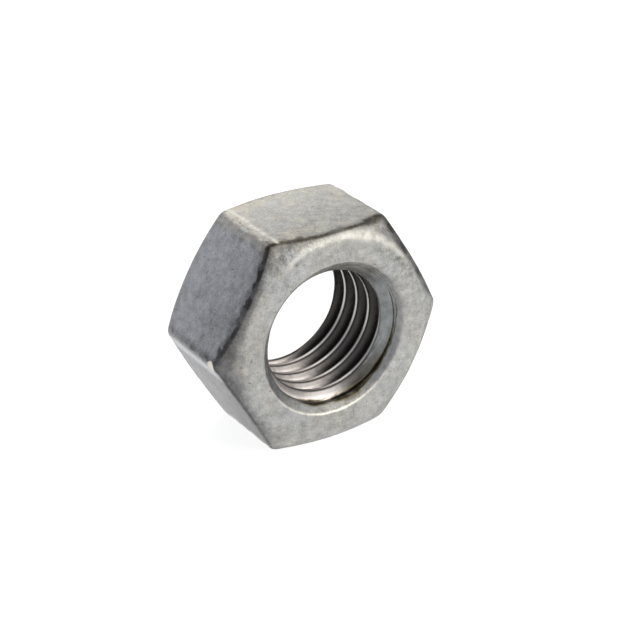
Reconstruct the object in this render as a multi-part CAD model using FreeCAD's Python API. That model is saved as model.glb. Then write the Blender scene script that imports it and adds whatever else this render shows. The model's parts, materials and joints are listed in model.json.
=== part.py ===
"""Hexagon nut, M12 coarse thread, hot-dip galvanised steel.

Millimetres.  The nut stands on one wrench flat: +Z is up, the thread axis is Y, two corners
point along X, and the origin is the middle of the nut on the thread axis.

The shapes are made along Z, with two wrench flats square to Y, and turned onto the Y axis last.
"""
import FreeCAD, Part
import math
import os

Vector = FreeCAD.Vector

# The hexagon.
ACROSS_FLATS = 18.75
HEIGHT = 9.95
CORNER_RADIUS = 0.8
SIDES = 6

# The end chamfers: a cone that leaves a round bearing face.
BEARING_DIAMETER = 17.3
CHAMFER_ANGLE = 30.0

# The thread: M12 x 1.75, tapped oversize because the mating bolt carries zinc.
PITCH = 1.75
MINOR_DIAMETER = 10.77
PITCH_DIAMETER = 11.40
MAJOR_DIAMETER = 12.40
FLANK_ANGLE = 30.0
# Height above mid-plane where the groove crosses the +X side, in the shape's own Z.
GROOVE_HEIGHT = 0.45 * PITCH

# The countersink at each end of the bore.
COUNTERSINK_DIAMETER = 13.5
COUNTERSINK_HALF_ANGLE = 42.0

# How far a cutting tool runs past the metal that it cuts.
OVERRUN = 1.0

NODE = "hex_nut"


def round_wire(radius, z, sectors):
    """A circle made of equal arcs, so that a wall swept from it is equal sectors."""
    step = 2 * math.pi / sectors
    edges = []
    for index in range(sectors):
        points = []
        for part in (0.0, 0.5, 1.0):
            angle = (index + part) * step
            points.append(Vector(radius * math.cos(angle), radius * math.sin(angle), z))
        edges.append(Part.Arc(*points).toShape())
    return Part.Wire(edges)


def hexagon_prism():
    """The hexagonal bar, with its six long edges rounded."""
    corner = ACROSS_FLATS / 2 / math.cos(math.pi / SIDES)
    points = []
    for index in range(SIDES + 1):
        angle = 2 * math.pi * index / SIDES
        points.append(Vector(corner * math.cos(angle), corner * math.sin(angle), -HEIGHT / 2))
    prism = Part.Face(Part.makePolygon(points)).extrude(Vector(0, 0, HEIGHT))
    long_edges = [
        edge for edge in prism.Edges
        if abs(edge.Vertexes[0].Point.z - edge.Vertexes[1].Point.z) > HEIGHT / 2
    ]
    return prism.makeFillet(CORNER_RADIUS, long_edges)


def chamfer_envelope():
    """A drum with a cone at each end: what is outside it is turned away by the chamfers."""
    face_radius = BEARING_DIAMETER / 2
    rim_radius = ACROSS_FLATS / 2 / math.cos(math.pi / SIDES) + OVERRUN
    drop = (rim_radius - face_radius) * math.tan(math.radians(CHAMFER_ANGLE))
    top = HEIGHT / 2
    outline = [
        Vector(0, 0, -top),
        Vector(face_radius, 0, -top),
        Vector(rim_radius, 0, drop - top),
        Vector(rim_radius, 0, top - drop),
        Vector(face_radius, 0, top),
        Vector(0, 0, top),
        Vector(0, 0, -top),
    ]
    return Part.Face(Part.makePolygon(outline)).revolve(Vector(0, 0, 0), Vector(0, 0, 1), 360)


def bore_tool():
    """The tapping hole, at the thread's minor diameter."""
    length = HEIGHT + 2 * OVERRUN
    wire = round_wire(MINOR_DIAMETER / 2, -length / 2, SIDES)
    return Part.Face(wire).extrude(Vector(0, 0, length))


def countersink_tool(side):
    """The cone that opens the bore at one end; side is +1 or -1 along Z."""
    slope = math.tan(math.radians(COUNTERSINK_HALF_ANGLE))
    wide = COUNTERSINK_DIAMETER / 2 + OVERRUN * slope
    narrow = MINOR_DIAMETER / 2 - OVERRUN * slope
    length = (wide - narrow) / slope
    start = Vector(0, 0, side * (HEIGHT / 2 + OVERRUN))
    return Part.makeCone(wide, narrow, length, start, Vector(0, 0, -side))


def groove_width(radius):
    """Axial width of the thread groove at this radius."""
    beyond_pitch_line = radius - PITCH_DIAMETER / 2
    return PITCH / 2 - 2 * beyond_pitch_line * math.tan(math.radians(FLANK_ANGLE))


def thread_groove():
    """The right-hand 60 degree groove, swept along its helix past both ends of the nut."""
    turns = math.ceil(HEIGHT / PITCH) + 1
    start = GROOVE_HEIGHT - math.ceil(turns / 2) * PITCH
    inner = MINOR_DIAMETER / 2 - 0.2 * PITCH
    root = MAJOR_DIAMETER / 2
    corners = [
        Vector(inner, 0, -groove_width(inner) / 2),
        Vector(root, 0, -groove_width(root) / 2),
        Vector(root, 0, groove_width(root) / 2),
        Vector(inner, 0, groove_width(inner) / 2),
        Vector(inner, 0, -groove_width(inner) / 2),
    ]
    profile = Part.makePolygon(corners)
    taper = 0
    helix = Part.makeLongHelix(PITCH, turns * PITCH, PITCH_DIAMETER / 2, taper)
    groove = Part.Wire(helix.Edges).makePipeShell([profile], True, True)
    groove.translate(Vector(0, 0, start))
    return groove


def hex_nut():
    """The whole nut: a chamfered hexagon with a countersunk, tapped bore."""
    blank = hexagon_prism().common(chamfer_envelope())
    drilled = blank.cut(bore_tool())
    opened = drilled.cut(countersink_tool(+1)).cut(countersink_tool(-1))
    tapped = opened.cut(thread_groove())
    tapped.rotate(Vector(0, 0, 0), Vector(1, 0, 0), 90)
    return tapped


os.makedirs("parts", exist_ok=True)
hex_nut().exportStep("parts/" + NODE + ".step")
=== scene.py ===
"""Studio view of a hot-dip galvanised hexagon nut, standing on one wrench flat.

Metres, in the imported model's own frame: the thread axis is Y, the seen face is towards -Y and +Z
is up.  The nut is one mesh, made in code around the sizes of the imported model: a hexagon with
rounded edges, two turned chamfers, two countersinks and a true helical thread, covered with the
small lumps and nicks of a zinc coating.  Angles round the axis go from +X towards +Z.
"""

import json
import math
import random

import bmesh
import bpy
from mathutils import Matrix, Vector, noise


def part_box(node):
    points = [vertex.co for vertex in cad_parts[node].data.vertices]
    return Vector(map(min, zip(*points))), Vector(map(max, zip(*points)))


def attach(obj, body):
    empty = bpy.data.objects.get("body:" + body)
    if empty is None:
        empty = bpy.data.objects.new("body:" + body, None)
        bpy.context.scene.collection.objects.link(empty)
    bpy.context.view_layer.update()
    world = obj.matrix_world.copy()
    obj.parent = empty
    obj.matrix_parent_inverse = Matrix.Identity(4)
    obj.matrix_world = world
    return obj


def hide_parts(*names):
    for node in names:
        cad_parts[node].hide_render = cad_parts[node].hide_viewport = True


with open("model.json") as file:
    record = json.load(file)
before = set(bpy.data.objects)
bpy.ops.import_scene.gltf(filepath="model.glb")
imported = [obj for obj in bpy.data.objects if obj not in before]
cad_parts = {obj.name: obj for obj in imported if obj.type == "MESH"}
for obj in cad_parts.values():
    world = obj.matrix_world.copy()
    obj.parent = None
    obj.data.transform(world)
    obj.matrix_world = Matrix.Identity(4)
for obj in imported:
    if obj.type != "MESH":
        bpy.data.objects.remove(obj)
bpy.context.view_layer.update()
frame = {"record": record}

MM = 0.001

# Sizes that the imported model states.
LOW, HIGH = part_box("hex_nut")
FLATS = HIGH.z - LOW.z
HEIGHT = HIGH.y - LOW.y
THREAD = next(m for m in frame["record"]["mounts"] if m["name"] == "thread")
CREST_RADIUS = THREAD["dims"]["r_mm"] * MM
CREST_LENGTH = THREAD["dims"]["length_mm"] * MM

# Sizes of the nut that the frame doesn't state.
MOUTH_RADIUS = 6.75 * MM
BEARING_RADIUS = 8.65 * MM
CHAMFER_ANGLE = math.radians(30)
CORNER_RADIUS = 0.8 * MM
PITCH = 1.75 * MM
ROOT_RADIUS = 6.20 * MM
PITCH_LINE_RADIUS = 5.70 * MM
FLANK_ANGLE = math.radians(30)
# How far past the middle plane a crest is where it crosses the nut's +X side.
CREST_PHASE = -PITCH / 60
# The cone of each countersink, from the face down to the crests.
COUNTERSINK_DEPTH = (HEIGHT - CREST_LENGTH) / 2
COUNTERSINK_SLOPE = (MOUTH_RADIUS - CREST_RADIUS) / COUNTERSINK_DEPTH

# The hexagon: the angle that one side takes, seen from the axis, and half of it.
SIDES = 6
SIDE_ANGLE = 2 * math.pi / SIDES
HALF_SIDE = math.pi / SIDES

# How far from each sharp edge its rounding starts.
MOUTH_CUT = 0.20 * MM
FACE_CUT = 0.35 * MM
SIDE_CUT = 0.30 * MM
CREST_CUT = 0.15 * MM
ROOT_CUT = 0.08 * MM

# How finely the mesh is divided.
CORNER_COLUMNS = 12
FLAT_COLUMNS = 42
ARC_STEPS = 4
OUTSIDE_STEPS = [2, 8, 7, 18]
THREAD_STEPS = [1, 3, 2, 3, 1]
# The close columns at a corner take this many times the angle of its rounding.
CORNER_MARGIN = 1.3
# The outside's mesh ends, and the bore's begins, at this height in each countersink.
BORE_END = HEIGHT / 2 - 0.30 * MM
# Vertices that are closer than this are joined, and edges that are shorter than this go.
SAME_PLACE = 0.004 * MM
SHORTEST_EDGE = 0.001 * MM


# ---------------------------------------------------------------- shape of the nut

def corner_half_angle():
    """Half of the angle, seen from the axis, that one rounded corner takes."""
    centre = (FLATS / 2 - CORNER_RADIUS) / math.cos(HALF_SIDE)
    along = centre + CORNER_RADIUS * math.cos(HALF_SIDE)
    return math.atan2(CORNER_RADIUS * math.sin(HALF_SIDE), along)


def hexagon_radius(angle):
    """Distance from the axis to the rounded hexagon; angle 0 points at a corner."""
    off_corner = (angle + HALF_SIDE) % SIDE_ANGLE - HALF_SIDE
    if abs(off_corner) >= corner_half_angle():
        return FLATS / 2 / math.cos(HALF_SIDE - abs(off_corner))
    centre = (FLATS / 2 - CORNER_RADIUS) / math.cos(HALF_SIDE)
    sideways = centre * math.sin(off_corner)
    return centre * math.cos(off_corner) + math.sqrt(CORNER_RADIUS ** 2 - sideways ** 2)


def column_angles():
    """Angles of the mesh columns, closer together over the six rounded corners."""
    near = CORNER_MARGIN * corner_half_angle()
    rest = SIDE_ANGLE - 2 * near
    angles = []
    for corner in range(SIDES):
        middle = corner * SIDE_ANGLE
        for step in range(CORNER_COLUMNS):
            angles.append(middle - near + 2 * near * step / CORNER_COLUMNS)
        for step in range(FLAT_COLUMNS):
            angles.append(middle + near + rest * step / FLAT_COLUMNS)
    return angles


def rounded_path(corners, cuts, steps):
    """Points along a line with corners, each inner one rounded from its cut before to after it.

    Each stretch is divided into its own number of steps, and each rounding into ARC_STEPS.
    """
    points = []
    start = corners[0]
    for index, (corner, cut, count) in enumerate(zip(corners[1:], cuts + [0], steps)):
        direction = (corner - corners[index]).normalized()
        end = corner - direction * cut
        for step in range(count):
            points.append(start.lerp(end, step / count))
        if cut:
            leaving = corner + (corners[index + 2] - corner).normalized() * cut
            for step in range(ARC_STEPS):
                part = step / ARC_STEPS
                points.append(end.lerp(corner, part).lerp(corner.lerp(leaving, part), part))
            start = leaving
        else:
            start = end
    return points + [start]


def countersink_radius(height):
    """Radius of the countersink cone at this distance from the nut's middle plane."""
    return MOUTH_RADIUS - COUNTERSINK_SLOPE * (HEIGHT / 2 - abs(height))


def outside_path(angle):
    """(radius, height) from the countersink, over the face and chamfer, to the side's middle."""
    top = HEIGHT / 2
    side = hexagon_radius(angle)
    drop = (side - BEARING_RADIUS) * math.tan(CHAMFER_ANGLE)
    corners = [
        Vector((countersink_radius(BORE_END), BORE_END)),
        Vector((MOUTH_RADIUS, top)),
        Vector((BEARING_RADIUS, top)),
        Vector((side, top - drop)),
        Vector((side, 0)),
    ]
    return rounded_path(corners, [MOUTH_CUT, FACE_CUT, SIDE_CUT], OUTSIDE_STEPS)


def thread_pitch_path():
    """(axial offset, radius) over one pitch, from the middle of one root to the next."""
    def half_width(radius):
        return PITCH / 4 - (PITCH_LINE_RADIUS - radius) * math.tan(FLANK_ANGLE)

    crest = half_width(CREST_RADIUS)
    root = half_width(ROOT_RADIUS)
    corners = [
        Vector((-PITCH / 2, ROOT_RADIUS)),
        Vector((-root, ROOT_RADIUS)),
        Vector((-crest, CREST_RADIUS)),
        Vector((crest, CREST_RADIUS)),
        Vector((root, ROOT_RADIUS)),
        Vector((PITCH / 2, ROOT_RADIUS)),
    ]
    return rounded_path(corners, [ROOT_CUT, CREST_CUT, CREST_CUT, ROOT_CUT], THREAD_STEPS)[:-1]


def place(angle, radius, height):
    """A point of the nut: height is measured from the middle plane towards the seen face."""
    return Vector((radius * math.cos(angle), -height, radius * math.sin(angle)))


def add_outside(bm, angles):
    """The hexagonal outside with both faces, from one countersink to the other."""
    columns = []
    for angle in angles:
        path = outside_path(angle)
        front = [place(angle, radius, height) for radius, height in path]
        back = [place(angle, radius, -height) for radius, height in reversed(path[:-1])]
        columns.append([bm.verts.new(point) for point in front + back])
    for index, column in enumerate(columns):
        following = columns[(index + 1) % len(columns)]
        for row in range(len(column) - 1):
            bm.faces.new((column[row], column[row + 1], following[row + 1], following[row]))


def add_bore(bm, angles):
    """The threaded bore: rows follow the helix, so one turn on they meet the row a pitch away."""
    pitch_path = thread_pitch_path()
    turns = math.ceil(2 * (BORE_END + PITCH) / PITCH) + 1
    first = CREST_PHASE - PITCH * math.ceil(BORE_END / PITCH + 1)
    grid = []
    for angle in angles + [angles[0] + 2 * math.pi]:
        column = []
        for turn in range(turns):
            for offset, radius in pitch_path:
                along = first + offset + PITCH * (turn + angle / (2 * math.pi))
                height = max(-BORE_END, min(BORE_END, along))
                opened = max(radius, countersink_radius(height))
                column.append(bm.verts.new(place(angle, opened, height)))
        grid.append(column)
    for left, right in zip(grid, grid[1:]):
        for row in range(len(left) - 1):
            bm.faces.new((left[row], right[row], right[row + 1], left[row + 1]))


# ---------------------------------------------------------------- relief of the surface

# Lumps of each surface: (height in mm, size in mm, seed).
ZINC_LUMPS = ((0.030, 4.0, 1), (0.014, 1.1, 2), (0.008, 0.42, 3))
STEEL_LUMPS = ((0.006, 0.5, 5),)
# The bare steel ends this far outside the thread's roots.
STEEL_MARGIN = 0.1 * MM

# Dents along the lateral edges: how far from the edge in radians, how far from the middle plane
# in nut heights, how wide and how deep in mm, and where in its own widths a dent stops.
NICK_SEED = 12
NICKS_PER_EDGE = 7
NICK_TURN = (-0.012, 0.012)
NICK_PLACE = (-0.36, 0.36)
NICK_REACH = (0.18, 0.42)
NICK_DEPTH = (0.03, 0.10)
NICK_END = 2.5


def lumps(point, layers):
    """Height of these layers of noise here; a seed moves a layer to its own part of the noise."""
    height = 0.0
    for tall, size, seed in layers:
        shift = Vector((seed, 3.1 * seed, 7.7 * seed))
        height += tall * MM * noise.noise(point / (size * MM) + shift)
    return height


def edge_nicks():
    """Small dents along the six lateral edges: (middle, reach, depth)."""
    picker = random.Random(NICK_SEED)
    nicks = []
    for corner in range(SIDES):
        for _ in range(NICKS_PER_EDGE):
            angle = corner * SIDE_ANGLE + picker.uniform(*NICK_TURN)
            height = picker.uniform(*NICK_PLACE) * HEIGHT
            reach = picker.uniform(*NICK_REACH) * MM
            depth = picker.uniform(*NICK_DEPTH) * MM
            nicks.append((place(angle, hexagon_radius(angle), height), reach, depth))
    return nicks


def surface_height(point, nicks):
    """How far the zinc, or the bare steel of the thread, stands over the plain shape here."""
    in_thread = math.hypot(point.x, point.z) < ROOT_RADIUS + STEEL_MARGIN
    if in_thread and abs(point.y) < CREST_LENGTH / 2:
        return lumps(point, STEEL_LUMPS)
    height = lumps(point, ZINC_LUMPS)
    for middle, reach, depth in nicks:
        away = (point - middle).length / reach
        if away < NICK_END:
            height -= depth * math.exp(-away * away)
    return height


def roughen(bm):
    """Moves every vertex along its normal by the surface's height there."""
    nicks = edge_nicks()
    bm.normal_update()
    shifts = [vert.normal * surface_height(vert.co, nicks) for vert in bm.verts]
    for vert, shift in zip(bm.verts, shifts):
        vert.co += shift


# ---------------------------------------------------------------- materials

class Graph:
    """One material's nodes; each call adds a node and returns its output."""

    def __init__(self, name):
        self.material = bpy.data.materials.new(name)
        self.material.use_nodes = True
        self.tree = self.material.node_tree
        self.shader = self.tree.nodes["Principled BSDF"]
        self.locate()

    def locate(self):
        """Where a place is on the nut: distances in mm, and its angle round the axis."""
        source = self.tree.nodes.new("ShaderNodeTexCoord").outputs["Object"]
        self.point = self.scaled(source, 1 / MM)
        split = self.tree.nodes.new("ShaderNodeSeparateXYZ")
        self.feed(split.inputs[0], self.point)
        x, y, z = split.outputs
        # Along the axis from the middle plane, below 0 on the seen half.
        self.depth = y
        self.radius = self.math("SQRT", self.add(self.times(x, x), self.times(z, z)))
        self.angle = self.math("ARCTAN2", z, x)
        # Sideways from the middle of the nearest corner, above 0 towards larger angles.
        off_corner = self.math("WRAP", self.angle, HALF_SIDE, -HALF_SIDE)
        self.past_corner = self.times(self.radius, self.math("SINE", off_corner))
        # Inwards from the plane of the nearest flat.
        off_flat = self.minus(HALF_SIDE, self.math("ABSOLUTE", off_corner))
        across = self.times(self.radius, self.math("COSINE", off_flat))
        self.inside_flat = self.minus(FLATS / 2 / MM, across)
        # Along the axis from the nearer face, and from the cone of its chamfer.
        self.below_face = self.minus(HEIGHT / 2 / MM, self.math("ABSOLUTE", y))
        drop = self.times(self.minus(self.radius, BEARING_RADIUS / MM), math.tan(CHAMFER_ANGLE))
        self.below_chamfer = self.minus(self.below_face, drop)
        # Outwards from the countersink or, deeper in the bore, from the crests.
        cone = self.add(self.times(self.below_face, -COUNTERSINK_SLOPE), MOUTH_RADIUS / MM)
        self.past_bore = self.minus(self.radius, self.math("MAXIMUM", cone, CREST_RADIUS / MM))
        # 1 on the flats, and 1 on the flats and the rounded edges between them.
        outer = self.rise(self.radius, 9.0, 9.3)
        self.on_flat = self.times(self.fall(self.inside_flat, 0.1, 0.3), outer)
        self.on_side = self.times(self.rise(self.below_chamfer, 0.0, 0.3), outer)

    def feed(self, socket, value):
        if isinstance(value, bpy.types.NodeSocket):
            self.tree.links.new(value, socket)
        else:
            socket.default_value = value

    def math(self, operation, *values):
        node = self.tree.nodes.new("ShaderNodeMath")
        node.operation = operation
        for socket, value in zip(node.inputs, values):
            self.feed(socket, value)
        return node.outputs[0]

    def add(self, first, *others):
        for other in others:
            first = self.math("ADD", first, other)
        return first

    def times(self, first, *others):
        for other in others:
            first = self.math("MULTIPLY", first, other)
        return first

    def minus(self, first, second):
        return self.math("SUBTRACT", first, second)

    def over(self, first, second):
        return self.math("DIVIDE", first, second)

    def swing(self, value, amount):
        """Turns a value around 0.5 into one around 0, this many times as large."""
        return self.times(self.minus(value, 0.5), amount)

    def away(self, value, middle):
        """How far the value is from the middle, on either side."""
        return self.math("ABSOLUTE", self.minus(value, middle))

    def rise(self, value, low, high, bottom=0.0, top=1.0):
        """Goes smoothly from bottom to top while value goes from low to high."""
        node = self.tree.nodes.new("ShaderNodeMapRange")
        node.interpolation_type = "SMOOTHSTEP"
        for socket, number in zip(node.inputs, (value, low, high, bottom, top)):
            self.feed(socket, number)
        return node.outputs[0]

    def fall(self, value, low, high):
        """1 up to low, then smoothly down to 0 at high."""
        return self.rise(value, low, high, 1.0, 0.0)

    def hump(self, value, middle, width):
        """1 at the middle, falling to 0 one width to either side."""
        return self.fall(self.away(value, middle), 0.0, width)

    def spot(self, middle, reach):
        """1 at one place on the nut, falling to 0 this far from it, both in mm."""
        node = self.tree.nodes.new("ShaderNodeVectorMath")
        node.operation = "DISTANCE"
        self.feed(node.inputs[0], self.point)
        node.inputs[1].default_value = middle
        return self.fall(node.outputs["Value"], 0.0, reach)

    def around(self, stops):
        """A value that goes round the axis: stops are (degrees, value), no value below 0."""
        turn = self.math("FRACT", self.add(self.over(self.angle, 2 * math.pi), 1.0))
        node = self.tree.nodes.new("ShaderNodeValToRGB")
        elements = node.color_ramp.elements
        for element, (degrees, value) in zip(elements, (stops[0], stops[-1])):
            element.position = degrees / 360
            element.color = (value, value, value, 1)
        for degrees, value in stops[1:-1]:
            elements.new(degrees / 360).color = (value, value, value, 1)
        self.feed(node.inputs[0], turn)
        return node.outputs["Color"]

    def noise(self, size, detail=2.0, vector=None):
        """Noise around 0.5 with lumps of this size in mm."""
        node = self.tree.nodes.new("ShaderNodeTexNoise")
        self.feed(node.inputs["Vector"], vector or self.point)
        node.inputs["Scale"].default_value = 1 / size
        node.inputs["Detail"].default_value = detail
        return node.outputs["Fac"]

    def combined(self, first, second):
        node = self.tree.nodes.new("ShaderNodeCombineXYZ")
        self.feed(node.inputs[0], first)
        self.feed(node.inputs[1], second)
        return node.outputs[0]

    def scaled(self, vector, factor):
        """The vector or colour times a number."""
        node = self.tree.nodes.new("ShaderNodeVectorMath")
        node.operation = "SCALE"
        self.feed(node.inputs[0], vector)
        self.feed(node.inputs["Scale"], factor)
        return node.outputs[0]

    def mix(self, share, first, second):
        """The first colour with this share of the second one over it."""
        node = self.tree.nodes.new("ShaderNodeMix")
        node.data_type = "RGBA"
        for name, value in (("Factor_Float", share), ("A_Color", first), ("B_Color", second)):
            socket = next(s for s in node.inputs if s.identifier == name)
            self.feed(socket, (*value, 1) if isinstance(value, tuple) else value)
        return next(s for s in node.outputs if s.identifier == "Result_Color")

    def bump(self, height, distance, strength, before=None):
        node = self.tree.nodes.new("ShaderNodeBump")
        node.inputs["Distance"].default_value = distance
        node.inputs["Strength"].default_value = strength
        self.feed(node.inputs["Height"], height)
        if before:
            self.feed(node.inputs["Normal"], before)
        return node.outputs[0]


CREAM_ZINC = (0.378, 0.371, 0.348)
GREY_ZINC = (0.362, 0.364, 0.355)
WARM_ZINC = (0.45, 0.42, 0.35)
REFLECTED_BLUE_ZINC = (0.380, 0.378, 0.386)
COOL_ZINC = (0.235, 0.250, 0.260)
MAUVE_ZINC = (0.255, 0.245, 0.250)
SHADED_ZINC = (0.10, 0.10, 0.105)
EDGE_HIGHLIGHT_ZINC = (0.42, 0.40, 0.36)
PAINTED_LIGHT_ZINC = (0.70, 0.67, 0.60)
BLUE_PAINTED_LIGHT_ZINC = (0.62, 0.635, 0.65)
BAND_HIGHLIGHT_ZINC = (0.76, 0.73, 0.66)
OXIDE_AND_DARK_REFLECTION = (0.030, 0.030, 0.033)
BROWN_DARK_REFLECTION = (0.042, 0.034, 0.026)
GRIME = (0.135, 0.128, 0.098)
OLIVE = (0.16, 0.130, 0.065)
SOOT = (0.026, 0.020, 0.012)
STEEL = (0.28, 0.255, 0.245)
CREST_HIGHLIGHT_STEEL = (0.52, 0.505, 0.49)
LIT_ROOT_STEEL = (0.62, 0.57, 0.54)
SHADED_STEEL = (0.045, 0.042, 0.038)

# Where a scuff and a painted highlight are, in mm.
SCUFF_PLACE = (-3.67, -HEIGHT / 2 / MM, 7.7)
TIP_PLACE = (-10.6, -3.2, -0.15)


def zinc_mottling(g, broad, cloud, grain):
    """How light the zinc is from place to place, with turning marks and blotches on the ends."""
    tone = g.add(g.times(broad, 0.35), g.times(cloud, 0.90), g.times(grain, 0.80))
    on_chamfer = g.fall(g.below_chamfer, 0.0, 0.3)
    on_turned = g.math("MAXIMUM", on_chamfer, g.fall(g.radius, 6.7, 6.9))
    turning = g.noise(0.28, 2.0, g.combined(g.times(g.angle, 1.4), g.radius))
    tone = g.add(tone, g.times(g.swing(turning, 0.4), on_turned))
    blotchy = g.around([(0, 0.6), (20, 0.8), (45, 1.0), (60, 0.6), (90, 0.2), (115, 0.6),
                        (160, 0.2), (240, 0.2), (280, 0.3), (300, 0.8), (340, 0.8), (360, 0.6)])
    on_end = g.fall(g.math("MINIMUM", g.below_chamfer, g.below_face), 0.1, 0.3)
    return g.add(tone, g.times(on_end, blotchy, g.swing(g.noise(0.55, 2.0), 0.8)))


def zinc_shading(g):
    """Painted light and shade: what the lit places add, less what the shaded places take away."""
    shaded = g.around([(0, 0.7), (45, 0.8), (56, 1.0), (66, 0.5), (80, 0.5), (95, 1.0), (124, 1.0),
                       (135, 0.0), (285, 0.0), (305, 0.75), (340, 0.85), (360, 0.85)])
    outer_chamfer = g.times(g.rise(g.radius, 8.9, 9.4), g.fall(g.below_chamfer, 0.0, 0.3))
    lower_left = g.around([(0, 0.0), (183, 0.0), (188, 1.0), (238, 1.0), (243, 0.0), (360, 0.0)])
    left_corner = g.around([(0, 0.0), (165, 0.0), (170, 1.0), (184, 1.0), (188, 0.0), (360, 0.0)])
    beside_edge = g.times(g.hump(g.past_corner, -0.20, 0.60), g.on_side)
    # Painted shade: the outer chamfer, the lower left flat and the left flat beside the left edge.
    darker = g.add(
        g.times(shaded, outer_chamfer, 0.28),
        g.times(lower_left, g.on_flat, 0.185),
        g.times(left_corner, beside_edge, 0.48),
    )
    front_to_back = g.rise(g.depth, -4.0, 4.0, -0.24, 0.06)
    pale = g.around([(0, 0.2), (20, 0.0), (100, 0.0), (115, 0.6), (150, 0.6), (165, 0.0),
                     (280, 0.0), (300, 1.0), (335, 1.0), (360, 0.2)])
    on_face = g.times(g.fall(g.radius, 8.5, 8.7), g.fall(g.below_face, 0.1, 0.3))
    upper_part = g.around([(0, 0.0), (119, 0.0), (123, 1.0), (141, 0.55), (156, 0.1), (181, 0.0),
                           (360, 0.0)])
    # Painted light: flats lighter towards the back, and parts of the faces and the upper left flat.
    lighter = g.add(
        g.times(front_to_back, g.on_flat),
        g.times(pale, on_face, 0.08),
        g.times(upper_part, g.on_flat, 0.17),
    )
    return g.minus(lighter, darker)


def zinc_hue(g):
    """Cream to grey zinc, warmer on the top flat; the left flats get a painted cool reflection."""
    colour = g.mix(g.rise(g.noise(3.0, 1.0), 0.35, 0.65), CREAM_ZINC, GREY_ZINC)
    colour = g.mix(g.rise(g.noise(1.0, 2.0), 0.50, 0.72, 0.0, 0.35), colour, WARM_ZINC)
    # Painted cool reflection, bluer on the left flats.
    cool_reflection = g.around([(0, 0.2), (60, 0.0), (118, 0.0), (128, 1.0), (235, 1.0), (245, 0.0),
                     (360, 0.2)])
    colour = g.mix(g.times(cool_reflection, g.on_flat), colour, REFLECTED_BLUE_ZINC)
    warm = g.around([(0, 0.0), (62, 0.0), (72, 0.4), (88, 0.6), (104, 1.0), (117, 1.0), (121, 0.0),
                     (360, 0.0)])
    stained = g.times(g.fall(g.below_chamfer, 0.2, 3.0), g.rise(g.noise(1.6, 2.0), 0.40, 0.60))
    return g.mix(g.times(warm, g.on_flat, stained, 0.8), colour, WARM_ZINC)


def upper_edge_marks(g, colour):
    """A painted highlight along the upper left edge, and the grime beside it."""
    # Painted highlight on the rounded edge between the top and upper left flats.
    upper_edge = g.around([(0, 0.0), (109, 0.0), (110, 1.0), (130, 1.0), (131, 0.0), (360, 0.0)])
    strip = g.times(g.rise(g.past_corner, -0.6, -0.2), g.fall(g.past_corner, 0.45, 0.85))
    upper_highlight = g.times(upper_edge, strip, g.rise(g.radius, 9.4, 9.6))
    upper_highlight = g.times(upper_highlight, g.rise(g.noise(0.8, 2.0), 0.3, 0.5), 0.8)
    colour = g.mix(upper_highlight, colour, EDGE_HIGHLIGHT_ZINC)
    smeared = g.times(g.hump(g.past_corner, 0.80, 0.35), g.rise(g.noise(0.6, 2.0), 0.45, 0.6))
    return g.mix(g.times(upper_edge, smeared, 0.4), colour, GRIME)


def face_marks(g, colour):
    """A scuff and some grimy mottling on the upper part of the end faces."""
    mottled = g.around([(0, 0.0), (15, 0.3), (34, 1.0), (57, 1.0), (64, 0.0), (360, 0.0)])
    mottled = g.times(mottled, g.hump(g.radius, 8.4, 1.0), 0.5)
    mottled = g.times(mottled, g.rise(g.noise(0.45, 2.0), 0.45, 0.60))
    marked = g.math("MAXIMUM", g.times(g.spot(SCUFF_PLACE, 0.45), 0.6), mottled)
    return g.mix(g.times(marked, g.fall(g.below_face, 0.4, 0.6)), colour, GRIME)


def chamfer_dirt(g):
    """Brown streaks that run down the seen chamfer from the edge line."""
    streaks = g.noise(0.16, 2.0, g.combined(g.times(g.angle, 9.0), g.times(g.radius, 0.25)))
    near_edge = g.times(g.fall(g.below_chamfer, 0.1, 0.4), g.fall(g.inside_flat, 0.15, 0.75))
    amount = g.around([(0, 0.0), (56, 0.0), (64, 0.8), (90, 0.4), (104, 0.7), (122, 1.0),
                       (150, 0.5), (166, 1.0), (182, 1.0), (190, 0.0), (360, 0.0)])
    return g.times(near_edge, amount, g.rise(streaks, 0.35, 0.65), g.fall(g.depth, -1.0, 1.0))


def outside_dirt_and_shade(g, colour, cloud):
    """The chamfer's dirt, dark specks, and painted shade on the lower left part of the chamfer."""
    colour = g.mix(g.times(chamfer_dirt(g), 0.6), colour, GRIME)
    specks = g.rise(g.noise(0.30, 1.0), 0.70, 0.78)
    colour = g.mix(g.times(specks, 0.45), colour, OXIDE_AND_DARK_REFLECTION)
    # Painted shade on the lower left part of the chamfer.
    shaded_lower_left = g.around([(0, 0.0), (135, 0.0), (150, 0.25), (165, 0.65), (180, 0.9), (205, 0.9),
                     (228, 0.5), (243, 0.0), (360, 0.0)])
    on_chamfer = g.times(g.fall(g.below_chamfer, 0.0, 0.3), g.rise(g.radius, 8.3, 9.6))
    uneven = g.rise(cloud, 0.35, 0.62, 1.0, 0.72)
    return g.mix(g.times(shaded_lower_left, on_chamfer, uneven), colour, SHADED_ZINC)


def countersink_zinc(g, colour, cloud):
    """The cooler zinc of the countersinks, with a painted light on its top."""
    inside = g.fall(g.radius, 6.5, 7.0)
    cool = g.around([(0, 0.9), (55, 0.5), (80, 0.2), (150, 0.3), (180, 0.9), (215, 0.8), (240, 0.1),
                     (290, 0.0), (320, 0.5), (360, 0.9)])
    cool_colour = g.mix(g.rise(g.radius, 6.40, 6.60), COOL_ZINC, MAUVE_ZINC)
    cool_colour = g.scaled(cool_colour, g.add(g.times(cloud, 1.2), 0.4))
    colour = g.mix(g.times(inside, cool), colour, cool_colour)
    # Painted light on the top of the countersink.
    lit = g.around([(0, 0.0), (50, 0.0), (70, 1.0), (110, 1.0), (135, 0.0), (360, 0.0)])
    return g.mix(g.times(inside, lit, 0.5), colour, PAINTED_LIGHT_ZINC)


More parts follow.
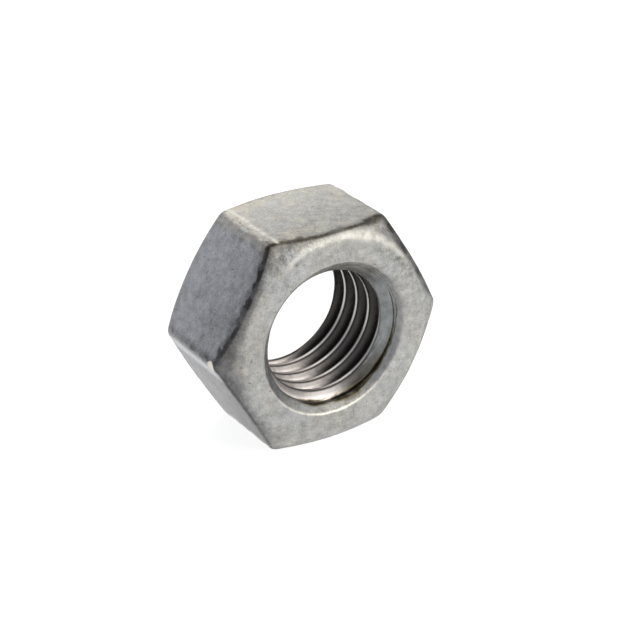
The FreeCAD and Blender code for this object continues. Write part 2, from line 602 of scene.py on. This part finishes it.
def countersink_marks(g, colour):
    """Smudges next to the thread and turning marks, both in the seen countersink only."""
    smudge = g.around([(0, 0.0), (48, 0.0), (62, 0.7), (85, 0.8), (100, 0.5), (112, 0.0),
                       (284, 0.0), (296, 0.6), (312, 0.9), (326, 0.5), (340, 0.0), (360, 0.0)])
    smudge = g.times(smudge, g.fall(g.radius, 5.75, 6.15))
    smudge = g.times(smudge, g.rise(g.noise(0.5, 2.0), 0.3, 0.6, 0.5, 1.0))
    turned = g.around([(0, 0.2), (30, 0.3), (50, 1.0), (95, 1.0), (115, 0.2), (280, 0.0),
                       (300, 0.5), (330, 0.4), (360, 0.2)])
    lines = g.noise(0.13, 1.0, g.combined(g.times(g.angle, 0.35), g.radius))
    turned = g.times(turned, g.rise(lines, 0.48, 0.64), g.fall(g.radius, 6.45, 6.70), 0.7)
    marks = g.times(g.math("MAXIMUM", turned, smudge), g.fall(g.depth, -1.0, 0.0))
    return g.mix(g.times(marks, 0.8), colour, GRIME)


def edge_line(g):
    """Dark, ragged line where each flat meets its chamfer, heavier on the seen side."""
    # Painted dark reflection: the ragged line is a reflection painted into the colour.
    ragged = g.math("MINIMUM", g.swing(g.noise(0.8, 3.0), 1.4), 0.15)
    width = g.around([(0, 0.5), (12, 0.5), (50, 0.6), (62, 0.6), (115, 0.65), (122, 1.0),
                      (172, 1.0), (186, 0.8), (360, 0.5)])
    reach = g.around([(0, 0.6), (6, 0.9), (14, 1.4), (30, 1.6), (54, 1.5), (58, 1.2), (66, 1.1),
                      (74, 0.5), (300, 0.5), (360, 0.6)])
    below = g.over(g.add(g.below_chamfer, ragged), width)
    core = g.times(g.fall(below, 0.30, 0.60), g.fall(g.over(g.inside_flat, reach), 0.20, 0.65))
    core = g.times(core, g.rise(g.noise(1.1, 3.0), 0.36, 0.58, 0.66, 1.0))
    spread = g.around([(0, 0.8), (140, 0.8), (165, 1.3), (178, 1.5), (186, 0.8), (360, 0.8)])
    inside = g.over(g.add(g.inside_flat, g.times(ragged, 0.5)), spread)
    fringe = g.times(g.fall(below, 0.3, 1.2), g.fall(inside, 0.1, 1.0), 0.5)
    strength = g.around([(0, 0.3), (8, 0.85), (20, 0.95), (58, 1.0), (74, 0.85), (90, 0.7),
                         (105, 0.8), (120, 1.0), (150, 0.95), (176, 0.85), (186, 0.45),
                         (225, 0.35), (250, 0.1), (300, 0.2), (360, 0.3)])
    seen_side = g.rise(g.depth, -1.0, 1.0, 1.0, 0.25)
    outside_face = g.rise(g.radius, 8.65, 8.95)
    return g.times(g.math("MAXIMUM", core, fringe), strength, seen_side, outside_face)


def edge_reflection_colour(g):
    """The colour of that painted reflection: brown along the top, near black elsewhere."""
    brown = g.around([(0, 0.3), (20, 0.1), (50, 0.1), (60, 1.0), (118, 1.0), (124, 0.3), (180, 0.3),
                      (360, 0.5)])
    return g.mix(brown, OXIDE_AND_DARK_REFLECTION, BROWN_DARK_REFLECTION)


def highlight_rings(g, cloud):
    """Painted highlights on the countersink's rim and in a band along the upper chamfer."""
    rim = g.around([(0, 0.0), (180, 0.0), (215, 0.5), (250, 0.8), (300, 0.7), (330, 0.1),
                    (360, 0.0)])
    rim = g.times(rim, g.hump(g.radius, 6.74, 0.14), g.fall(g.below_face, 0.3, 0.5))
    band = g.around([(0, 0.0), (34, 0.0), (44, 0.40), (50, 0.48), (56, 0.62), (70, 0.66),
                     (80, 0.40), (90, 0.12), (104, 0.20), (113, 0.30), (118, 0.30), (126, 0.0),
                     (360, 0.0)])
    broad = g.around([(0, 0.0), (40, 0.0), (58, 0.6), (72, 1.0), (82, 0.8), (92, 0.5), (105, 0.2),
                      (114, 0.0), (360, 0.0)])
    wandering = g.add(g.radius, g.swing(g.noise(1.4, 2.0), 0.30))
    off_band = g.away(wandering, g.rise(broad, 0.0, 1.0, 8.75, 8.95))
    off_band = g.over(off_band, g.rise(broad, 0.0, 1.0, 0.30, 0.60))
    band = g.times(band, g.fall(off_band, 0.0, 1.2), g.fall(g.below_face, 0.4, 0.6))
    return g.times(g.add(rim, band), g.rise(cloud, 0.36, 0.53, 0.5, 1.0))


def edge_highlights(g):
    """Painted highlight: a bright line along each lateral edge, on one side of it or the other."""
    # 0 to 1 here stands for 1 mm before to 1 mm past the corner's middle.
    side = g.around([(0, 0.67), (30, 0.67), (31, 0.28), (149, 0.28), (150, 0.92), (210, 0.92),
                     (211, 0.28), (270, 0.28), (271, 0.67), (360, 0.67)])
    width = g.around([(0, 0.28), (149, 0.28), (150, 1.00), (210, 1.00), (211, 0.28), (360, 0.28)])
    middle = g.add(g.rise(side, 0.0, 1.0, -1.0, 1.0), g.swing(g.noise(1.2, 2.0), 0.45))
    line = g.fall(g.over(g.away(g.past_corner, middle), width), 0.0, 1.0)
    least = g.rise(width, 0.3, 1.1, 0.35, 0.75)
    patchy_highlight = g.rise(g.noise(0.7, 3.0), 0.36, 0.62, least, 1.0)
    on_edge = g.times(g.rise(g.below_chamfer, 0.0, 0.2), g.rise(g.radius, 9.4, 9.6))
    return g.times(line, patchy_highlight, on_edge, 0.75)


def edge_highlight_colour(g):
    """The colour of the painted edge highlights: bluer on the left one."""
    left_edge = g.around([(0, 0.0), (149, 0.0), (150, 1.0), (210, 1.0), (211, 0.0), (360, 0.0)])
    return g.mix(left_edge, PAINTED_LIGHT_ZINC, BLUE_PAINTED_LIGHT_ZINC)


def bright_tip(g, cloud):
    """A painted highlight at the end of the left edge, just behind the seen chamfer."""
    tip = g.rise(g.add(g.spot(TIP_PLACE, 0.85), g.times(cloud, 0.5)), 0.55, 0.85)
    return g.times(tip, g.rise(g.below_chamfer, 0.05, 0.2), 0.9)


def zinc_colour(g, broad, cloud, grain):
    """The zinc with its stains and marks, and painted light, shade and reflections, layer on layer.
    """
    colour = face_marks(g, upper_edge_marks(g, zinc_hue(g)))
    colour = g.scaled(colour, g.add(zinc_mottling(g, broad, cloud, grain), zinc_shading(g)))
    colour = outside_dirt_and_shade(g, colour, cloud)
    colour = countersink_marks(g, countersink_zinc(g, colour, cloud))
    colour = g.mix(edge_line(g), colour, edge_reflection_colour(g))
    colour = g.mix(highlight_rings(g, cloud), colour, BAND_HIGHLIGHT_ZINC)
    colour = g.mix(edge_highlights(g), colour, edge_highlight_colour(g))
    return g.mix(bright_tip(g, cloud), colour, PAINTED_LIGHT_ZINC)


def steel_colour(g, helix, streaks):
    """Tapped thread: painted highlights on the crests, painted shade on the flanks and roots."""
    # Painted shade, strongest on the right side of the bore.
    painted_shade = g.around([(0, 1.0), (60, 1.0), (120, 0.8), (190, 0.35), (250, 0.15), (300, 0.75),
                    (360, 1.0)])
    half_pitch = PITCH / 2 / MM
    from_crest = g.math("WRAP", g.add(helix, CREST_PHASE / MM), half_pitch, -half_pitch)
    ridge = g.fall(g.math("ABSOLUTE", from_crest), 0.06, 0.15)
    colour = g.mix(g.times(painted_shade, g.minus(1.0, ridge)), STEEL, SHADED_STEEL)
    colour = g.mix(g.times(ridge, g.rise(painted_shade, 0.3, 0.8)), colour, CREST_HIGHLIGHT_STEEL)
    # Where the painted shade is weak, the roots are painted lighter.
    root_colour = g.mix(g.rise(painted_shade, 0.3, 0.7), LIT_ROOT_STEEL, SHADED_STEEL)
    colour = g.mix(g.rise(g.radius, 5.65, 6.05), colour, root_colour)
    # Painted highlight on the flank at the seen end.
    front_flank = g.times(g.fall(g.depth, -3.5, -3.1), g.fall(painted_shade, 0.3, 0.8))
    colour = g.mix(g.times(front_flank, 0.25), colour, CREST_HIGHLIGHT_STEEL)
    return g.scaled(colour, g.add(g.times(streaks, 0.6), 0.7))


def off_residue(g):
    """Distance from the middle of the dirt in the seen countersink, in its own half widths."""
    outwards = g.around([(0, 0.32), (15, 0.36), (235, 0.06), (250, 0.10), (265, 0.12), (280, 0.15),
                         (293, 0.24), (304, 0.25), (318, 0.20), (332, 0.22), (347, 0.27),
                         (360, 0.32)])
    width = g.around([(0, 0.03), (14, 0.03), (24, 0.005), (232, 0.005), (242, 0.05), (255, 0.08),
                      (264, 0.06), (271, 0.07), (277, 0.09), (284, 0.15), (290, 0.13), (296, 0.12),
                      (304, 0.05), (311, 0.04), (318, 0.08), (326, 0.04), (345, 0.03), (360, 0.03)])
    wobbling = g.add(g.radius, g.swing(g.noise(0.6, 2.0), 0.16))
    return g.over(g.away(wobbling, g.add(outwards, 6.0)), width)


def residue(g, colour):
    """The colour with an olive stain, and black dirt in its middle, in the seen countersink."""
    off_dirt = off_residue(g)
    seen_cone = g.fall(g.depth, -3.6, -3.3)
    patches = g.noise(0.45, 2.0, g.combined(g.times(g.angle, 2.4), g.radius))
    stain = g.times(g.fall(off_dirt, 1.0, 2.7), seen_cone, 0.8)
    stain = g.times(stain, g.rise(patches, 0.36, 0.54, 0.3, 1.0))
    sooty = g.around([(0, 0.6), (20, 0.3), (240, 0.5), (252, 0.95), (261, 0.9), (266, 0.35),
                      (273, 0.4), (278, 0.95), (285, 0.9), (289, 0.5), (293, 0.95), (300, 0.95),
                      (307, 0.5), (314, 0.7), (320, 0.85), (328, 0.5), (345, 0.7), (360, 0.6)])
    soot = g.times(g.fall(off_dirt, 0.5, 1.2), seen_cone, sooty)
    soot = g.times(soot, g.rise(patches, 0.32, 0.52, 0.35, 1.0))
    return g.mix(soot, g.mix(stain, colour, OLIVE), SOOT)


def bare_steel(g):
    """1 in the thread, and where its groove runs out into a countersink."""
    end = COUNTERSINK_DEPTH / MM
    in_thread = g.rise(g.below_face, end - 0.05, end + 0.05)
    run_out = g.around([(0, 0.1), (60, 0.3), (90, 1.0), (300, 1.0), (335, 0.3), (360, 0.1)])
    in_groove = g.times(g.rise(g.past_bore, 0.01, 0.05), run_out)
    return g.times(g.fall(g.radius, 6.24, 6.30), g.math("MAXIMUM", in_thread, in_groove))


def nut_finish():
    """Hot-dip zinc outside and on the countersinks, bare tapped steel in the thread."""
    g = Graph("nut_finish")
    broad = g.noise(2.6, 2.0)
    cloud = g.noise(0.7, 3.0)
    grain = g.noise(0.16, 2.0)
    helix = g.add(g.depth, g.times(g.angle, PITCH / MM / (2 * math.pi)))
    streaks = g.noise(0.05, 2.0, g.combined(helix, g.radius))

    steel = bare_steel(g)
    colour = g.mix(steel, zinc_colour(g, broad, cloud, grain), steel_colour(g, helix, streaks))
    g.feed(g.shader.inputs["Base Color"], residue(g, colour))
    g.shader.inputs["Metallic"].default_value = 0.9

    zinc_roughness = g.times(g.add(g.times(cloud, 0.20), 0.34), g.minus(1.0, steel))
    steel_roughness = g.times(g.add(g.times(streaks, 0.20), 0.25), steel)
    g.feed(g.shader.inputs["Roughness"], g.add(zinc_roughness, steel_roughness))

    lumpy = g.bump(cloud, 0.05 * MM, 0.6)
    grit = g.times(grain, g.minus(1.0, g.times(steel, 0.8)))
    g.feed(g.shader.inputs["Normal"], g.bump(grit, 0.02 * MM, 0.7, lumpy))
    return g.material


def floor_paint():
    """White floor that glows, so that shadows on it stay faint."""
    material = bpy.data.materials.new("floor_paint")
    material.use_nodes = True
    shader = material.node_tree.nodes["Principled BSDF"]
    shader.inputs["Base Color"].default_value = (0.30, 0.30, 0.30, 1)
    shader.inputs["Emission Color"].default_value = (1, 1, 1, 1)
    shader.inputs["Emission Strength"].default_value = 0.85
    shader.inputs["Roughness"].default_value = 1.0
    shader.inputs["Specular IOR Level"].default_value = 0.0
    return material


# ---------------------------------------------------------------- pieces

def make_nut():
    """The nut as one closed mesh; its material carries both the zinc and the bare steel."""
    bm = bmesh.new()
    angles = column_angles()
    add_outside(bm, angles)
    add_bore(bm, angles)
    bmesh.ops.remove_doubles(bm, verts=bm.verts, dist=SAME_PLACE)
    bmesh.ops.dissolve_degenerate(bm, edges=bm.edges, dist=SHORTEST_EDGE)
    bmesh.ops.recalc_face_normals(bm, faces=bm.faces)
    for face in bm.faces:
        face.smooth = True
    roughen(bm)
    mesh = bpy.data.meshes.new("galvanised_nut")
    bm.to_mesh(mesh)
    bm.free()
    mesh.materials.append(nut_finish())
    nut = bpy.data.objects.new("galvanised_nut", mesh)
    bpy.context.collection.objects.link(nut)
    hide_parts("hex_nut")
    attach(nut, "root")


# Half of the floor's width, in metres.
FLOOR_REACH = 1.0


def make_floor():
    """A plain floor, much larger than the view."""
    mesh = bpy.data.meshes.new("floor")
    around = ((-1, -1), (1, -1), (1, 1), (-1, 1))
    corners = [(FLOOR_REACH * x, FLOOR_REACH * y, LOW.z) for x, y in around]
    mesh.from_pydata(corners, [], [(0, 1, 2, 3)])
    mesh.materials.append(floor_paint())
    floor = bpy.data.objects.new("floor", mesh)
    bpy.context.collection.objects.link(floor)


# ---------------------------------------------------------------- light and camera

# The surround, from its left side to its right, and where the change begins and ends, 0 to 1.
LEFT_LIGHT = (0.47, 0.49, 0.545)
RIGHT_LIGHT = (1.0, 0.99, 0.97)
CHANGE_BEGINS = 0.12
CHANGE_ENDS = 0.72

# How far the softboxes stand from the nut, in metres.
SOFTBOX_DISTANCE = 0.6

# The photograph's view, fitted to the nut's outline and crests: degrees and millimetres.
VIEW_AZIMUTH = -32.86
VIEW_ELEVATION = 27.25
VIEW_ROLL = -0.12
VIEW_DISTANCE = 170.67
VIEW_RIGHT = 1.449
VIEW_UP = -0.345
LENS = 116.04
SENSOR = 36


def direction(azimuth, elevation):
    """Unit vector towards a place seen at this azimuth and elevation, in degrees."""
    turn = math.radians(azimuth)
    lift = math.radians(elevation)
    level = math.cos(lift)
    return Vector((math.sin(turn) * level, -math.cos(turn) * level, math.sin(lift)))


def softbox(name, towards, size, radiance, colour):
    """A square area light that looks at the nut and is as bright as stated, seen from it."""
    light = bpy.data.lights.new(name, "AREA")
    light.shape = "SQUARE"
    light.size = size
    light.energy = radiance * math.pi * size * size
    light.color = colour
    lamp = bpy.data.objects.new(name, light)
    lamp.location = towards * SOFTBOX_DISTANCE
    lamp.rotation_euler = towards.to_track_quat("Z", "Y").to_euler()
    bpy.context.collection.objects.link(lamp)


def make_surround():
    """A pale surround that is darker and cooler on the left."""
    world = bpy.data.worlds.new("studio")
    world.use_nodes = True
    tree = world.node_tree
    background = tree.nodes["Background"]
    source = tree.nodes.new("ShaderNodeTexCoord").outputs["Generated"]
    split = tree.nodes.new("ShaderNodeSeparateXYZ")
    tree.links.new(source, split.inputs[0])
    across = tree.nodes.new("ShaderNodeMapRange")
    for socket, number in zip(across.inputs[1:], (-1.0, 1.0, 0.0, 1.0)):
        socket.default_value = number
    tree.links.new(split.outputs[0], across.inputs[0])
    ramp = tree.nodes.new("ShaderNodeValToRGB")
    ramp.color_ramp.interpolation = "EASE"
    left, right = ramp.color_ramp.elements
    left.position = CHANGE_BEGINS
    left.color = (*LEFT_LIGHT, 1)
    right.position = CHANGE_ENDS
    right.color = (*RIGHT_LIGHT, 1)
    tree.links.new(across.outputs[0], ramp.inputs[0])
    tree.links.new(ramp.outputs[0], background.inputs["Color"])
    bpy.context.scene.world = world


def make_lights():
    """The surround, a softbox to the right of the seen face and a weaker one behind the nut."""
    make_surround()
    softbox("front_softbox", direction(28, 30), size=0.28, radiance=4.4, colour=(1.0, 0.99, 0.96))
    softbox("rear_softbox", direction(165, 44), size=0.40, radiance=1.05, colour=(1.0, 0.97, 0.92))


def make_camera():
    """The photograph's view: a long lens, above and to the left of the seen face."""
    back = direction(VIEW_AZIMUTH, VIEW_ELEVATION)
    right = Vector((0, 0, 1)).cross(back).normalized()
    right = Matrix.Rotation(math.radians(VIEW_ROLL), 3, back) @ right
    up = back.cross(right)
    camera = bpy.data.cameras.new("camera")
    camera.lens = LENS
    camera.sensor_width = SENSOR
    view = bpy.data.objects.new("camera", camera)
    rotation = Matrix((right, up, back)).transposed()
    place_at = (back * VIEW_DISTANCE + right * VIEW_RIGHT + up * VIEW_UP) * MM
    view.matrix_world = Matrix.Translation(place_at) @ rotation.to_4x4()
    bpy.context.collection.objects.link(view)
    bpy.context.scene.camera = view


make_camera()
make_nut()
make_floor()
make_lights()
bpy.context.scene.view_settings.view_transform = "Standard"
